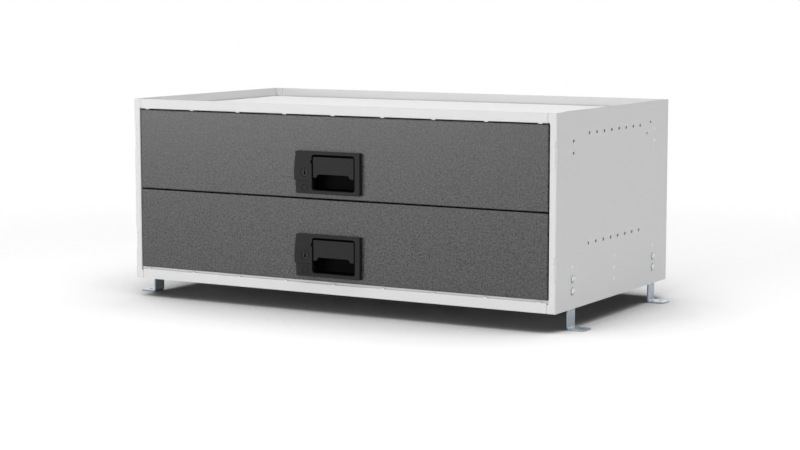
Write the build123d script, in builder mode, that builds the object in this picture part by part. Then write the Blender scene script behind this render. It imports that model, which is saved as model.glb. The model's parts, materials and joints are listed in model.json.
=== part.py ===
from build123d import *
import os

os.makedirs("parts", exist_ok=True)

# A low steel cabinet for a van, with two wide drawers under an open tray top.
# Millimetres. X runs to the right, Y to the back and Z up, from the middle of the floor under it.

# Cabinet
width = 1000
depth = 550
height = 385.8
leg_drop = 39.2
sheet = 1.5
bend = 2.5
sheet_gap = 0.2
overrun = 1

# Side panels
flange_width = 15
flange_lip = 12
lip_relief = 2
ear_reach = 3.6
ear_high = 18

# Tray top, and the base pan that is the same pressing turned over
tray_bend = 1.8
lip_height = 20.4
lip_end_gap = 0.6
side_lip_inset = 37
side_lip_rise = 0.5
floor_notch_gap = 0.7
web_pitch = 116.2
web_width = 8.5
web_proud = 1.7
web_depth = 3.4
slot_width = 1.6
sill_gap = 0.4

# Back panel
back_flange = 16
back_gap = 2.5

# Holes in the side panels
grid_hole = 3.5
grid_pitch = 35.7
grid_count = 8
grid_start = 148.5
grid_low = 122
grid_down = 46.6
post_front = 76.5
post_back = 76.3
post_pitch = 23.9
post_low = 34.9
post_count = 3
pair_down = 58.2
pair_pitch = 23.6
index_hole = 3
index_back = 96.6
index_down = 42.6
index_step_back = 18.7
index_step_down = 22.9
joint_flat = 3.5
joint_length = 48
joint_rise = 61
joint_drop = 56.7

# Legs
leg_width = 32
leg_sheet = 3
leg_bend = 6
leg_toe = 34
leg_top = 70
leg_corner = 4
toe_hole = 4.25
toe_hole_out = 18.5

# Leg bolts and nuts
bolt_radius = 3
bolt_length = 16
bolt_head = 8.25
bolt_head_high = 4
bolt_hole = 3.3
nut_flats = 10
nut_high = 6
thread_gap = 0.05

# Plugs in the spare holes
plug_head = 3.8
plug_head_high = 0.8
plug_body = 3.3
plug_hole = 3.4
plug_length = 4

# Drawers
front_gap_side = 2.4
front_bottom = 25.6
front_top = 22.9
front_gap = 2.6
front_inset = 0.5
front_bend = 1.8
pan_depth = 33.5
pan_flange = 28
box_rise = 3.7
box_height = 92
box_bend = 2.5
hem_width = 9

# Ball-bearing slides
slide_length = 500
slide_start = 36
slide_thick = 12.7
slide_rise = 70.2
slide_travel = 480
slide_gap = 0.3
outer_high = 45
outer_sheet = 1.4
outer_reach = 9.8
middle_high = 36.6
middle_sheet = 1.2
middle_reach = 9
middle_length = 480
inner_high = 28.8
inner_sheet = 1.2
inner_reach = 8.6
member_bend = 2.2
web_gap = 0.7
ball_row_wide = 5
ball_row_length = 200

# Rails that carry the slides on the side panels
rail_high = 44
rail_screw = 2
rail_screw_head = 4
rail_screw_head_high = 1.8
rail_screw_places = (60, 440)

# Handle: its places are taken from the middle of the cabinet and its own middle height
handle_rise = 52.85
handle_stand = 9
bezel_left = 84.5
bezel_bulge = 88.2
bezel_step = 87.6
bezel_foot = 83.3
bezel_right = 68.5
bezel_half = 43.3
bezel_shoulder = 8
bezel_corner = 3
bezel_round = 1.2
cover_top = 17.2
cover_right = 49.3
cover_thick = 3
cover_inset = 0.6
cover_gap = 0.5
pocket_left = 45.2
pocket_right = 57.2
pocket_bottom = 36.3
pocket_top = 36.9
pocket_corner = 6
pocket_deep = 19
notch_up = 22.4
notch_high = 7
notch_wide = 2.4
notch_deep = 4
housing_wall = 2
housing_right = 60
cutout_gap = 0.5
ring_radius = 9.7
ring_width = 1.2
ring_deep = 0.8
cover_ring = 7.2
cover_ring_right = 62.1
cover_ring_down = 30.6

# Paddle
paddle_left = 43.1
paddle_right = 54
paddle_top = 32.5
paddle_foot = 10.4
paddle_inset = 1.5
paddle_thick = 3.5
paddle_round = 1
grip_left_foot = 35.6
grip_left = 30.7
grip_right = 40.3
grip_right_foot = 45.7
grip_down = 3.5
cheek_thick = 2
cheek_deep = 4
hinge_up = 26
hinge_in = 6.5
pin_radius = 2
pin_boss = 4
pin_end = 49.7
pin_press_gap = 0.02
running_gap = 0.05
spring_middle = 7
spring_gap = 0.1
spring_clear = 0.3
spring_radius = 2.8
spring_wire = 0.5
spring_pitch = 1.8
spring_turns = 6

# Crank on the end of the paddle's shaft, in its own slot of the bezel
crank_thick = 5
crank_gap = 0.5
crank_reach = 24
crank_hub = 4.5
crank_tip = 2.5
crank_room_up = 5.5
crank_room_down = 6
crank_room_wide = 6.5

# Rotor that the crank turns, and the rods that it draws in
rotor_reach = 24
rotor_thick = 2.5
rotor_hub = 8
rotor_arm = 12
rotor_end = 20
rotor_tab = 7
rotor_ear_deep = 3.3
rotor_ear_thick = 2.5
rotor_gap = 0.3
rotor_stand = 3.5
rotor_pin = 3
rotor_pin_end = 0.7
rod_radius = 14
rod_pin = 2
rod_pin_play = 0.55
rod_slot_reach = 15.2
rod_slot_run = 3.3
rod_high = 10
rod_thick = 2.5
rod_gap = 0.4
rod_tail = 7
nose_length = 30
nose_high = 14
nose_thick = 10
nose_chamfer = 5
nose_short = 0.4
nose_play = 0.3
guide_long = 20
guide_high = 18
guide_play = 0.3
guide_clear = 2
guide_places = (130, 400)

# Strikes that the rods' noses catch behind
strike_thick = 2
strike_high = 34
strike_back = 12
strike_gap = 0.4

# Lock
lock_left = 62
lock_radius = 8
lock_boss = 10.8
lock_inset = 0.2
lock_cam_gap = 0.7
lock_cam_thick = 2.5
lock_cam_reach = 13
lock_cam_wide = 9
key_wide = 2
key_long = 11
key_up = 1.2
key_eye = 2.4
key_eye_down = 2
key_deep = 7

# Screws that join a drawer's box to its front
screw_radius = 2.5
screw_hole = 2.7
screw_head = 4.75
screw_head_high = 2.6
screw_grip = 8
screw_in = 8.5
screw_rises = (20, 70)

# Planes worked out from the sizes above
half_width = width / 2
stand_proud = handle_stand - front_inset
front = (stand_proud - depth) / 2
back = front + depth
bottom = leg_drop
top = bottom + height
panel_inner = half_width - sheet
opening_half = half_width - flange_width
front_half = opening_half - front_gap_side
face_y = front + front_inset
box_front = face_y + pan_depth
box_half = opening_half - lip_relief - slide_thick
rail_face = opening_half - lip_relief
box_floor = bottom + front_bottom + box_rise
box_depth = slide_length
slide_centre = bottom + front_bottom + slide_rise
slide_front = front + slide_start
row_names = ("lower", "upper")
front_height = (height - front_bottom - front_top + front_gap) / len(row_names) - front_gap
drawer_pitch = front_height + front_gap
drawer_rows = {name: step * drawer_pitch for step, name in enumerate(row_names)}
handle_z = bottom + front_bottom + handle_rise
bezel_y = face_y - handle_stand
housing_back = face_y + pocket_deep + housing_wall
floor_under = top - lip_height
mid_height = bottom + height / 2


def write(piece, name):
    """Label a finished piece and write its file."""
    piece.part.label = name
    export_step(piece.part, f"parts/{name}.step")


def write_pair(piece, name):
    """Write a right-hand piece and its mirror image on the left."""
    write(piece, f"{name}_right")
    with BuildPart() as twin:
        mirror(piece.part, about=Plane.YZ)
    write(twin, f"{name}_left")


def write_rows(piece, name, paired=False):
    """Write a piece of the lower drawer, and its copy one drawer up."""
    for row, rise in drawer_rows.items():
        with BuildPart() as copy:
            with Locations((0, 0, rise)):
                add(piece.part)
        if paired:
            write_pair(copy, f"{row}_{name}")
        else:
            write(copy, f"{row}_{name}")


def folded(plane, points, length, radius=bend, thickness=sheet, side=Side.LEFT, both=False):
    """Sheet metal bent along points, which trace its outside, and run square to plane."""
    with BuildPart() as strip:
        with BuildSketch(plane):
            with BuildLine():
                FilletPolyline(*points, radius=radius)
                offset(amount=thickness, side=side)
            make_face()
        extrude(amount=length, both=both)
    return strip.part


def across(y):
    """Plane square to Y, with X across it and Z up it, whose normal points to the front."""
    return Plane.XZ.offset(-y)


# Side panels: one sheet each. Their flanges widen to ears at the ends, the front one carries a lip,
# and the front corner is pressed flat over two lengths.
lip_low = bottom + lip_height + lip_relief
lip_high = top - lip_height - lip_relief
plain_section = (
    (opening_half, front),
    (half_width, front),
    (half_width, back),
    (opening_half, back),
)
lipped_section = ((opening_half, front + flange_lip),) + plain_section
ear_half = opening_half - ear_reach
eared_section = ((ear_half, front),) + plain_section[1:-1] + ((ear_half, back),)
ear_low = bottom + ear_high
ear_top = top - ear_high
grid_rows = (bottom + grid_low, top - grid_down)
posts = (front + post_front, (front + post_front + back - post_back) / 2, back - post_back)
post_rises = [bottom + post_low + step * post_pitch for step in range(post_count)]
pair_rises = (top - pair_down - pair_pitch, top - pair_down)
bolt_places = [(y, z) for y in (posts[0], posts[-1]) for z in post_rises[:-1]]
plug_places = [(y, post_rises[-1]) for y in posts]
plug_places += [(posts[1], z) for z in post_rises[:-1]]
plug_places += [(posts[-1], z) for z in pair_rises]
open_places = [(front + grid_start + step * grid_pitch, z) for z in grid_rows for step in range(grid_count)]
open_places += [(posts[0], z) for z in pair_rises]
index_first = (back - index_back, top - index_down)
index_second = (index_first[0] - index_step_back, index_first[1] - index_step_down)
joint_rises = (bottom + joint_rise, top - joint_drop - joint_length)
joint_back = joint_flat + sheet * (2 ** 0.5 - 1)
joint_face = ((half_width - joint_flat, front), (half_width, front + joint_flat))

with BuildPart() as side_panel:
    add(folded(Plane.XY.offset(bottom), eared_section, ear_high))
    add(folded(Plane.XY.offset(ear_low), plain_section, lip_low - ear_low))
    add(folded(Plane.XY.offset(lip_low), lipped_section, lip_high - lip_low))
    add(folded(Plane.XY.offset(lip_high), plain_section, ear_top - lip_high))
    add(folded(Plane.XY.offset(ear_top), eared_section, ear_high))
    with BuildSketch(Plane.YZ.offset(half_width)):
        with Locations(*open_places):
            Circle(grid_hole)
        with Locations(index_first, index_second):
            Circle(index_hole)
        with Locations(*plug_places):
            Circle(plug_hole)
        with Locations(*bolt_places):
            Circle(bolt_hole)
    extrude(amount=-sheet - overrun, mode=Mode.SUBTRACT)
    for z in joint_rises:
        with BuildSketch(Plane.XY.offset(z)):
            with BuildLine():
                Polyline(*joint_face, (half_width, front), close=True)
            make_face()
        extrude(amount=joint_length, mode=Mode.SUBTRACT)
        with BuildSketch(Plane.XY.offset(z)):
            with BuildLine():
                Polyline(*joint_face, (half_width - sheet, front + joint_back),
                         (half_width - joint_back, front + sheet), close=True)
            make_face()
        extrude(amount=joint_length)
write_pair(side_panel, "side_panel")

# Tray top: a floor with four lips, whose bend lines are cut into slots with narrow webs between
lip_half = ear_half - lip_end_gap
tray_half = panel_inner - sheet_gap
tray_profile = ((front, top), (front, floor_under), (back, floor_under), (back, top))
side_profile = (
    (-tray_half, top + side_lip_rise),
    (-tray_half, floor_under),
    (tray_half, floor_under),
    (tray_half, top + side_lip_rise),
)
floor_front = front + sheet + floor_notch_gap
floor_back = back - sheet - floor_notch_gap
front_webs = int(2 * lip_half / web_pitch) + 1
side_webs = int((depth - 2 * side_lip_inset) / web_pitch) + 1
web_row = [(place - (front_webs - 1) / 2) * web_pitch for place in range(front_webs)]
side_web_start = (front + back) / 2 - (side_webs - 1) / 2 * web_pitch
slot_length = web_pitch - web_width
front_slots = [x + web_pitch / 2 for x in web_row[:-1]]
side_slots = [side_web_start + (step + 1 / 2) * web_pitch for step in range(side_webs - 1)]

with BuildPart() as top_tray:
    add(folded(Plane.YZ, tray_profile, lip_half, radius=tray_bend, both=True))
    add(folded(across(front + side_lip_inset), side_profile, -(depth - 2 * side_lip_inset), radius=tray_bend))
    with BuildSketch(Plane.XY.offset(floor_under)):
        with Locations((0, (floor_front + floor_back) / 2)):
            Rectangle(2 * tray_half, floor_back - floor_front)
    extrude(amount=sheet)
    with BuildSketch(Plane.XY.offset(floor_under - overrun)):
        for lip_y in (front + sheet + slot_width / 2, back - sheet - slot_width / 2):
            with Locations(*[(x, lip_y) for x in front_slots]):
                Rectangle(slot_length, slot_width)
        for lip_x in (tray_half - sheet - slot_width / 2, slot_width / 2 + sheet - tray_half):
            with Locations(*[(lip_x, y) for y in side_slots]):
                Rectangle(slot_width, slot_length)
    extrude(amount=sheet + 2 * overrun, mode=Mode.SUBTRACT)
    for x in web_row:
        with BuildSketch(Plane.YZ.offset(x)):
            with BuildLine():
                Polyline((front, floor_under), (front, floor_under + sheet),
                         (front + web_depth, floor_under + sheet), (front + web_depth, floor_under))
                ThreePointArc((front, floor_under), (front + web_depth / 2, floor_under - web_proud),
                              (front + web_depth, floor_under))
            make_face()
        extrude(amount=web_width / 2, both=True)
write(top_tray, "top_tray")

# Base pan: the tray turned over, with room beside its edges for the legs and a sill under the lower drawer
leg_places = (posts[0], posts[-1])
with BuildPart() as base_pan:
    mirror(top_tray.part, about=Plane.XY.offset(mid_height))
    with BuildSketch(Plane.XY.offset(bottom - overrun)):
        with Locations(*[(side * panel_inner, y) for side in (-1, 1) for y in leg_places]):
            Rectangle(2 * (leg_sheet + sheet_gap), leg_width + 2 * sheet_gap)
    extrude(amount=lip_height + 2 * overrun, mode=Mode.SUBTRACT)
    with BuildSketch(Plane.XY.offset(bottom + lip_height - sheet)):
        with Locations((0, front + web_depth + sheet / 2)):
            Rectangle(2 * (opening_half - lip_end_gap), sheet)
    extrude(amount=front_bottom - sill_gap - lip_height + sheet)
write(base_pan, "base_pan")

# Back panel: a sheet inside the rear flanges, folded forward under the tray and over the base
back_face = back - sheet
back_top = floor_under
back_low = bottom + lip_height
back_profile = (
    (back_face - back_flange, back_top),
    (back_face, back_top),
    (back_face, back_low),
    (back_face - back_flange, back_low),
)
with BuildPart() as back_panel:
    add(folded(Plane.YZ, back_profile, panel_inner - back_gap, side=Side.RIGHT, both=True))
write(back_panel, "back_panel")

# Legs: a strap bolted inside the side panel, bent out at the floor into a drilled toe
strap_inner = panel_inner - leg_sheet
leg_profile = ((strap_inner, bottom + leg_top), (strap_inner, 0), (half_width + leg_toe, 0))
for end, leg_y in zip(("front", "rear"), leg_places):
    with BuildPart() as leg:
        add(folded(across(leg_y), leg_profile, leg_width / 2, leg_bend, leg_sheet, both=True))
        fillet(leg.edges().filter_by(Axis.X).group_by(Axis.Z)[-1], radius=leg_corner)
        fillet(leg.edges().filter_by(Axis.Z).group_by(Axis.X)[-1], radius=leg_corner)
        with BuildSketch(Plane.YZ.offset(half_width)):
            with Locations(*[(leg_y, z) for z in post_rises[:-1]]):
                Circle(bolt_hole)
        extrude(amount=strap_inner - half_width - overrun, mode=Mode.SUBTRACT)
        with BuildSketch(Plane.XY):
            with Locations((half_width + toe_hole_out, leg_y)):
                Circle(toe_hole)
        extrude(amount=leg_sheet, mode=Mode.SUBTRACT)
    write_pair(leg, f"leg_{end}")

# Leg bolts: domed heads outside, nuts on the strap inside
bolt_end = half_width - bolt_length
with BuildPart() as one_bolt:
    with BuildSketch(Plane.XY):
        with BuildLine():
            TangentArc((half_width + bolt_head_high, 0), (half_width, bolt_head), tangent=(0, 1))
            Polyline((half_width + bolt_head_high, 0), (bolt_end, 0), (bolt_end, bolt_radius),
                     (half_width, bolt_radius), (half_width, bolt_head))
        make_face()
    revolve(axis=Axis.X)
with BuildPart() as one_nut:
    with BuildSketch(Plane.YZ.offset(strap_inner)):
        RegularPolygon(nut_flats / 2, 6, major_radius=False)
        Circle(bolt_radius + thread_gap, mode=Mode.SUBTRACT)
    extrude(amount=-nut_high)
for single, name in ((one_bolt, "leg_bolts"), (one_nut, "leg_nuts")):
    with BuildPart() as group:
        with Locations(*[(0, y, z) for y, z in bolt_places]):
            add(single.part)
        mirror(group.part, about=Plane.YZ)
    write(group, name)

# Plugs in the spare holes
plug_end = half_width - plug_length
with BuildPart() as one_plug:
    with BuildSketch(Plane.XY):
        with BuildLine():
            TangentArc((half_width + plug_head_high, 0), (half_width, plug_head), tangent=(0, 1))
            Polyline((half_width + plug_head_high, 0), (plug_end, 0), (plug_end, plug_body),
                     (half_width, plug_body), (half_width, plug_head))
        make_face()
    revolve(axis=Axis.X)
with BuildPart() as hole_plugs:
    with Locations(*[(0, y, z) for y, z in plug_places]):
        add(one_plug.part)
    mirror(hole_plugs.part, about=Plane.YZ)
write(hole_plugs, "hole_plugs")

# Rails on the side panels that bring the slides clear of the front flanges
rail_half = rail_high / 2
slide_rail_profile = (
    (panel_inner, slide_centre + rail_half),
    (rail_face, slide_centre + rail_half),
    (rail_face, slide_centre - rail_half),
    (panel_inner, slide_centre - rail_half),
)
screw_spots = [(slide_front + place, slide_centre) for place in rail_screw_places]
rail_inner = rail_face + sheet
with BuildPart() as slide_rail:
    add(folded(across(slide_front), slide_rail_profile, -slide_length))
    with BuildSketch(Plane.YZ.offset(rail_face)):
        with Locations(*screw_spots):
            Circle(rail_screw + thread_gap)
    extrude(amount=sheet, mode=Mode.SUBTRACT)
write_rows(slide_rail, "slide_rail", paired=True)


def channel(web_x, high, reach, thickness, run, towards, y_start):
    """One member of a slide: a channel with its web at web_x, open along X in the direction towards."""
    half = high / 2
    rim = web_x + towards * reach
    points = (
        (rim, slide_centre + half),
        (web_x, slide_centre + half),
        (web_x, slide_centre - half),
        (rim, slide_centre - half),
    )
    inside = Side.LEFT if towards > 0 else Side.RIGHT
    return folded(across(y_start), points, -run, member_bend, thickness, inside)


# Slides: an outer member on the rail, a middle one, and an inner one on the drawer
with BuildPart() as slide_outer:
    add(channel(rail_face, outer_high, outer_reach, outer_sheet, slide_length, -1, slide_front))
    with BuildSketch(Plane.YZ.offset(rail_face)):
        with Locations(*screw_spots):
            Circle(rail_screw + thread_gap)
    extrude(amount=-outer_sheet, mode=Mode.SUBTRACT)
write_rows(slide_outer, "slide_outer", paired=True)

middle_web = rail_face - outer_sheet - web_gap
middle_start = slide_front + (slide_length - middle_length) / 2
with BuildPart() as slide_middle:
    add(channel(middle_web, middle_high, middle_reach, middle_sheet, middle_length, -1, middle_start))
write_rows(slide_middle, "slide_middle", paired=True)

with BuildPart() as slide_inner:
    add(channel(box_half, inner_high, inner_reach, inner_sheet, slide_length, 1, slide_front))
write_rows(slide_inner, "slide_inner", paired=True)

# Rows of balls in their cages: one strip above and one below each member
outer_row_out = outer_high / 2 - outer_sheet - slide_gap
outer_row_in = middle_high / 2 + slide_gap
inner_row_out = middle_high / 2 - middle_sheet - slide_gap
inner_row_in = inner_high / 2 + slide_gap
open_overlap = slide_length - slide_travel / 2 - (slide_length - middle_length) / 2
outer_row_start = slide_front + slide_travel / 4 + (open_overlap - ball_row_length) / 2
inner_row_start = slide_front + slide_travel / 4 + (slide_length - ball_row_length) / 2 - slide_travel / 8
ball_rows = (
    ("outer_ball_rows", outer_row_in, outer_row_out, outer_row_start, middle_web),
    ("inner_ball_rows", inner_row_in, inner_row_out, inner_row_start, middle_web - middle_sheet),
)
for row_name, low, high, start, web in ball_rows:
    row_x = web - member_bend - ball_row_wide / 2
    with BuildPart() as strips:
        with BuildSketch(across(start)):
            for side in (-1, 1):
                for turn in (-1, 1):
                    with Locations((side * row_x, slide_centre + turn * (low + high) / 2)):
                        Rectangle(ball_row_wide, high - low)
        extrude(amount=-ball_row_length)
    write_rows(strips, row_name)

# Screws that hold the outer members to their rails
with BuildPart() as one_rail_screw:
    with BuildSketch(Plane.YZ.offset(rail_inner)):
        Circle(rail_screw_head)
    extrude(amount=rail_screw_head_high)
    with BuildSketch(Plane.YZ.offset(rail_inner)):
        Circle(rail_screw)
    extrude(amount=-sheet - outer_sheet)
with BuildPart() as rail_screws:
    with Locations(*[(0, y, z + rise) for y, z in screw_spots for rise in drawer_rows.values()]):
        add(one_rail_screw.part)
    mirror(rail_screws.part, about=Plane.YZ)
write(rail_screws, "rail_screws")

# Drawer boxes: a folded box with low walls and a hem round the rim
box_middle = box_front + box_depth / 2
box_rim = box_floor + box_height
screw_points = [(side * (box_half - screw_in), box_floor + rise) for side in (-1, 1) for rise in screw_rises]
with BuildPart() as drawer_box:
    with BuildSketch(Plane.XY.offset(box_floor)):
        with Locations((0, box_middle)):
            Rectangle(2 * box_half, box_depth)
    extrude(amount=box_height)
    fillet(drawer_box.edges().filter_by(Axis.Z), radius=box_bend)
    fillet(drawer_box.faces().sort_by(Axis.Z)[0].edges(), radius=box_bend)
    offset(amount=-sheet, openings=drawer_box.faces().sort_by(Axis.Z)[-1])
    with BuildSketch(Plane.XY.offset(box_rim - sheet)):
        with Locations((0, box_middle)):
            RectangleRounded(2 * box_half, box_depth, box_bend)
            Rectangle(2 * (box_half - hem_width), box_depth - 2 * hem_width, mode=Mode.SUBTRACT)
    extrude(amount=sheet)
    with BuildSketch(across(box_front)):
        with Locations(*screw_points):
            Circle(screw_hole)
    extrude(amount=-sheet - overrun, mode=Mode.SUBTRACT)
write_rows(drawer_box, "drawer_box")

# Drawer fronts: a pan with closed corners, cut out for the handle and for the noses of the rods
rotor_x = housing_right + crank_gap + crank_thick / 2 - rotor_reach
rotor_z = handle_z + hinge_up - crank_tip - rotor_gap - rotor_ear_thick / 2
rotor_y = housing_back + rotor_stand
rod_y = rotor_y + rotor_thick + rod_gap
rod_back = rod_y + rod_thick
rod_levels = {"left": rotor_z + rod_radius, "right": rotor_z - rod_radius}
rod_sides = {"left": -1, "right": 1}
crank_x = housing_right + crank_gap
crank_room_right = housing_right + crank_room_wide
pan_bottom = bottom + front_bottom
pan_middle = pan_bottom + front_height / 2
cut_left = lock_left + lock_boss + cutout_gap
cut_right = crank_room_right + cutout_gap
cut_low = pocket_bottom + housing_wall + cutout_gap
cut_high = pocket_top + housing_wall + cutout_gap

with BuildPart() as drawer_front:
    with BuildSketch(across(face_y)):
        with Locations((0, pan_middle)):
            Rectangle(2 * front_half, front_height)
    extrude(amount=-pan_depth)
    fillet(drawer_front.edges().filter_by(Axis.Y), radius=front_bend)
    fillet(drawer_front.faces().sort_by(Axis.Y)[0].edges(), radius=front_bend)
    offset(amount=-sheet, openings=drawer_front.faces().sort_by(Axis.Y)[-1])
    with BuildSketch(across(box_front)):
        for side in (-1, 1):
            with Locations((side * (front_half - pan_flange / 2 - sheet / 2), pan_middle)):
                Rectangle(pan_flange - sheet, front_height - sheet)
        with Locations(*screw_points):
            Circle(screw_hole, mode=Mode.SUBTRACT)
    extrude(amount=sheet)
    with BuildSketch(across(face_y)):
        with Locations(((cut_right - cut_left) / 2, handle_z + (cut_high - cut_low) / 2)):
            Rectangle(cut_left + cut_right, cut_low + cut_high)
    extrude(amount=-sheet - overrun, mode=Mode.SUBTRACT)
    for name, level in rod_levels.items():
        with BuildSketch(Plane.YZ.offset(rod_sides[name] * (front_half + overrun))):
            with Locations((rod_back - nose_thick / 2, level)):
                Rectangle(nose_thick + 2 * nose_play, nose_high + 2 * nose_play)
        extrude(amount=-rod_sides[name] * (sheet + 2 * overrun), mode=Mode.SUBTRACT)
write_rows(drawer_front, "drawer_front")

# Screws through each box into its front
with BuildPart() as one_screw:
    with BuildSketch(across(box_front + sheet)):
        Circle(screw_head)
    extrude(amount=-screw_head_high)
    chamfer(one_screw.faces().sort_by(Axis.Y)[-1].edges(), length=screw_head_high / 2)
    with BuildSketch(across(box_front + sheet)):
        Circle(screw_radius)
    extrude(amount=screw_grip)
with BuildPart() as drawer_screws:
    with Locations(*[(x, 0, z) for x, z in screw_points]):
        add(one_screw.part)
write_rows(drawer_screws, "drawer_screws")


inward = (0, 1, 0)


def bezel_outline():
    """Front outline of the handle: square on the right, bulged and stepped round the lock on the left."""
    with BuildSketch(across(bezel_y)) as outline:
        with BuildLine():
            Polyline((-bezel_step, handle_z - cover_top), (-bezel_left, handle_z - cover_top),
                     (-bezel_foot, handle_z - bezel_half), (bezel_right, handle_z - bezel_half),
                     (bezel_right, handle_z + bezel_half), (-bezel_left, handle_z + bezel_half),
                     (-bezel_left, handle_z + bezel_half - bezel_shoulder))
            ThreePointArc((-bezel_left, handle_z + bezel_half - bezel_shoulder), (-bezel_bulge, handle_z),
                          (-bezel_step, handle_z - cover_top))
        make_face()
    return outline.sketch


def cover_area(gap):
    """Lower left part of the bezel's outline, where the cover lies, drawn in by gap from the bezel."""
    with BuildSketch(across(bezel_y)) as area:
        add(bezel_outline())
        reach = bezel_step - cover_right
        with Locations((-cover_right - gap - reach / 2, handle_z - (bezel_half + cover_top) / 2 - gap)):
            Rectangle(reach, bezel_half - cover_top, mode=Mode.INTERSECT)
    return area.sketch


# Finger pocket, as the space it leaves open
with BuildPart() as pocket:
    with BuildSketch(across(bezel_y - overrun)):
        with Locations(((pocket_right - pocket_left) / 2, handle_z + (pocket_top - pocket_bottom) / 2)):
            RectangleRounded(pocket_left + pocket_right, pocket_top + pocket_bottom, pocket_corner)
    extrude(amount=-(overrun + handle_stand + pocket_deep))
    fillet(pocket.faces().sort_by(Axis.Y)[-1].edges(), radius=pocket_corner - overrun)

# Handle bezel: frame, finger pocket, lock boss and the pin that the rotor turns on
hinge_y = bezel_y + hinge_in
hinge_z = handle_z + hinge_up
housing_left = pocket_left + housing_wall
with BuildPart() as handle_bezel:
    extrude(bezel_outline(), amount=handle_stand, dir=inward)
    standing = handle_bezel.edges().filter_by(Axis.Y).group_by(Axis.Z)
    fillet(standing[0] + standing[-1], radius=bezel_corner)
    fillet(handle_bezel.faces().sort_by(Axis.Y)[0].edges(), radius=bezel_round)
    with BuildSketch(across(face_y)):
        with Locations(((housing_right - housing_left) / 2, handle_z + (pocket_top - pocket_bottom) / 2)):
            Rectangle(housing_right + housing_left, pocket_top + pocket_bottom + 2 * housing_wall)
        with Locations((-lock_left, handle_z)):
            Circle(lock_boss)
    extrude(amount=-(housing_back - face_y))
    with BuildSketch(across(housing_back)):
        with Locations((rotor_x, rotor_z)):
            Circle(rotor_pin)
    extrude(amount=-(rotor_stand + rotor_thick + rotor_pin_end - rod_gap))
    add(pocket.part, mode=Mode.SUBTRACT)
    with BuildSketch(across(bezel_y)):
        with Locations((-lock_left, handle_z)):
            Circle(lock_radius + running_gap)
    extrude(amount=-(housing_back - bezel_y), mode=Mode.SUBTRACT)
    with BuildSketch(Plane.YZ.offset(housing_right)):
        with Locations((hinge_y, hinge_z)):
            Circle(pin_radius + running_gap)
    extrude(amount=-(housing_right + pin_end), mode=Mode.SUBTRACT)
    with BuildSketch(Plane.YZ.offset(housing_right)):
        with Locations((face_y, hinge_z + (crank_room_up - crank_room_down) / 2)):
            Rectangle(2 * (face_y - hinge_y + crank_hub + crank_gap), crank_room_up + crank_room_down)
    extrude(amount=crank_room_wide, mode=Mode.SUBTRACT)
    extrude(cover_area(0), amount=cover_thick + cover_inset, dir=inward, mode=Mode.SUBTRACT)
    with BuildSketch(across(bezel_y)):
        with Locations((-lock_left, handle_z)):
            Circle(ring_radius)
            Circle(ring_radius - ring_width, mode=Mode.SUBTRACT)
    extrude(amount=-ring_deep, mode=Mode.SUBTRACT)
    with BuildSketch(across(bezel_y)):
        with Locations((-pocket_left, handle_z + notch_up)):
            Rectangle(2 * notch_wide, notch_high)
    extrude(amount=-notch_deep, mode=Mode.SUBTRACT)
write_rows(handle_bezel, "handle_bezel")

# Cover over the second keyway
with BuildPart() as lock_cover:
    extrude(cover_area(cover_gap), amount=cover_thick + cover_inset, dir=inward)
    fillet(lock_cover.edges().filter_by(Axis.Y).sort_by(Axis.X)[0], radius=bezel_corner)
    with BuildSketch(across(bezel_y)):
        with Locations((0, handle_z)):
            Rectangle(2 * bezel_bulge, 2 * bezel_half)
    extrude(amount=-cover_inset, mode=Mode.SUBTRACT)
    with BuildSketch(across(bezel_y + cover_inset)):
        with Locations((-cover_ring_right, handle_z - cover_ring_down)):
            Circle(cover_ring)
            Circle(cover_ring - ring_width, mode=Mode.SUBTRACT)
    extrude(amount=-ring_deep, mode=Mode.SUBTRACT)
write_rows(lock_cover, "lock_cover")

# Paddle: a plate with a grip cut from its lower edge, cheeks at its ends and a boss for its pin
paddle_y = bezel_y + paddle_inset
spring_half = max(spring_radius + spring_wire + spring_clear, pin_boss)
spring_length = spring_pitch * spring_turns
spring_room = spring_length + 2 * (spring_wire + spring_gap)
with BuildPart() as paddle:
    with BuildSketch(across(paddle_y)):
        with BuildLine():
            Polyline((-paddle_left, handle_z + paddle_top), (-paddle_left, handle_z - paddle_foot),
                     (-grip_left_foot, handle_z - paddle_foot), (-grip_left, handle_z - grip_down),
                     (grip_right, handle_z - grip_down), (grip_right_foot, handle_z - paddle_foot),
                     (paddle_right, handle_z - paddle_foot), (paddle_right, handle_z + paddle_top),
                     close=True)
        make_face()
    extrude(amount=-paddle_thick)
    fillet(paddle.faces().sort_by(Axis.Y)[0].edges(), radius=paddle_round)
    with BuildSketch(across(paddle_y + paddle_thick)):
        for cheek_x in (cheek_thick / 2 - paddle_left, paddle_right - cheek_thick / 2):
            with Locations((cheek_x, handle_z + (hinge_up - paddle_foot) / 2)):
                Rectangle(cheek_thick, hinge_up + paddle_foot)
    extrude(amount=-cheek_deep)
    with BuildSketch(Plane.YZ.offset(-paddle_left)):
        with Locations((hinge_y, hinge_z)):
            Circle(pin_boss)
    extrude(amount=paddle_left + paddle_right)
    with BuildSketch(Plane.YZ.offset(spring_middle)):
        with Locations((hinge_y, hinge_z)):
            Rectangle(2 * spring_half, 2 * spring_half)
    extrude(amount=spring_room / 2, both=True, mode=Mode.SUBTRACT)
    with BuildSketch(Plane.YZ.offset(-paddle_left)):
        with Locations((hinge_y, hinge_z)):
            Circle(pin_radius + pin_press_gap)
    extrude(amount=paddle_left + paddle_right, mode=Mode.SUBTRACT)
write_rows(paddle, "paddle")

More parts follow.
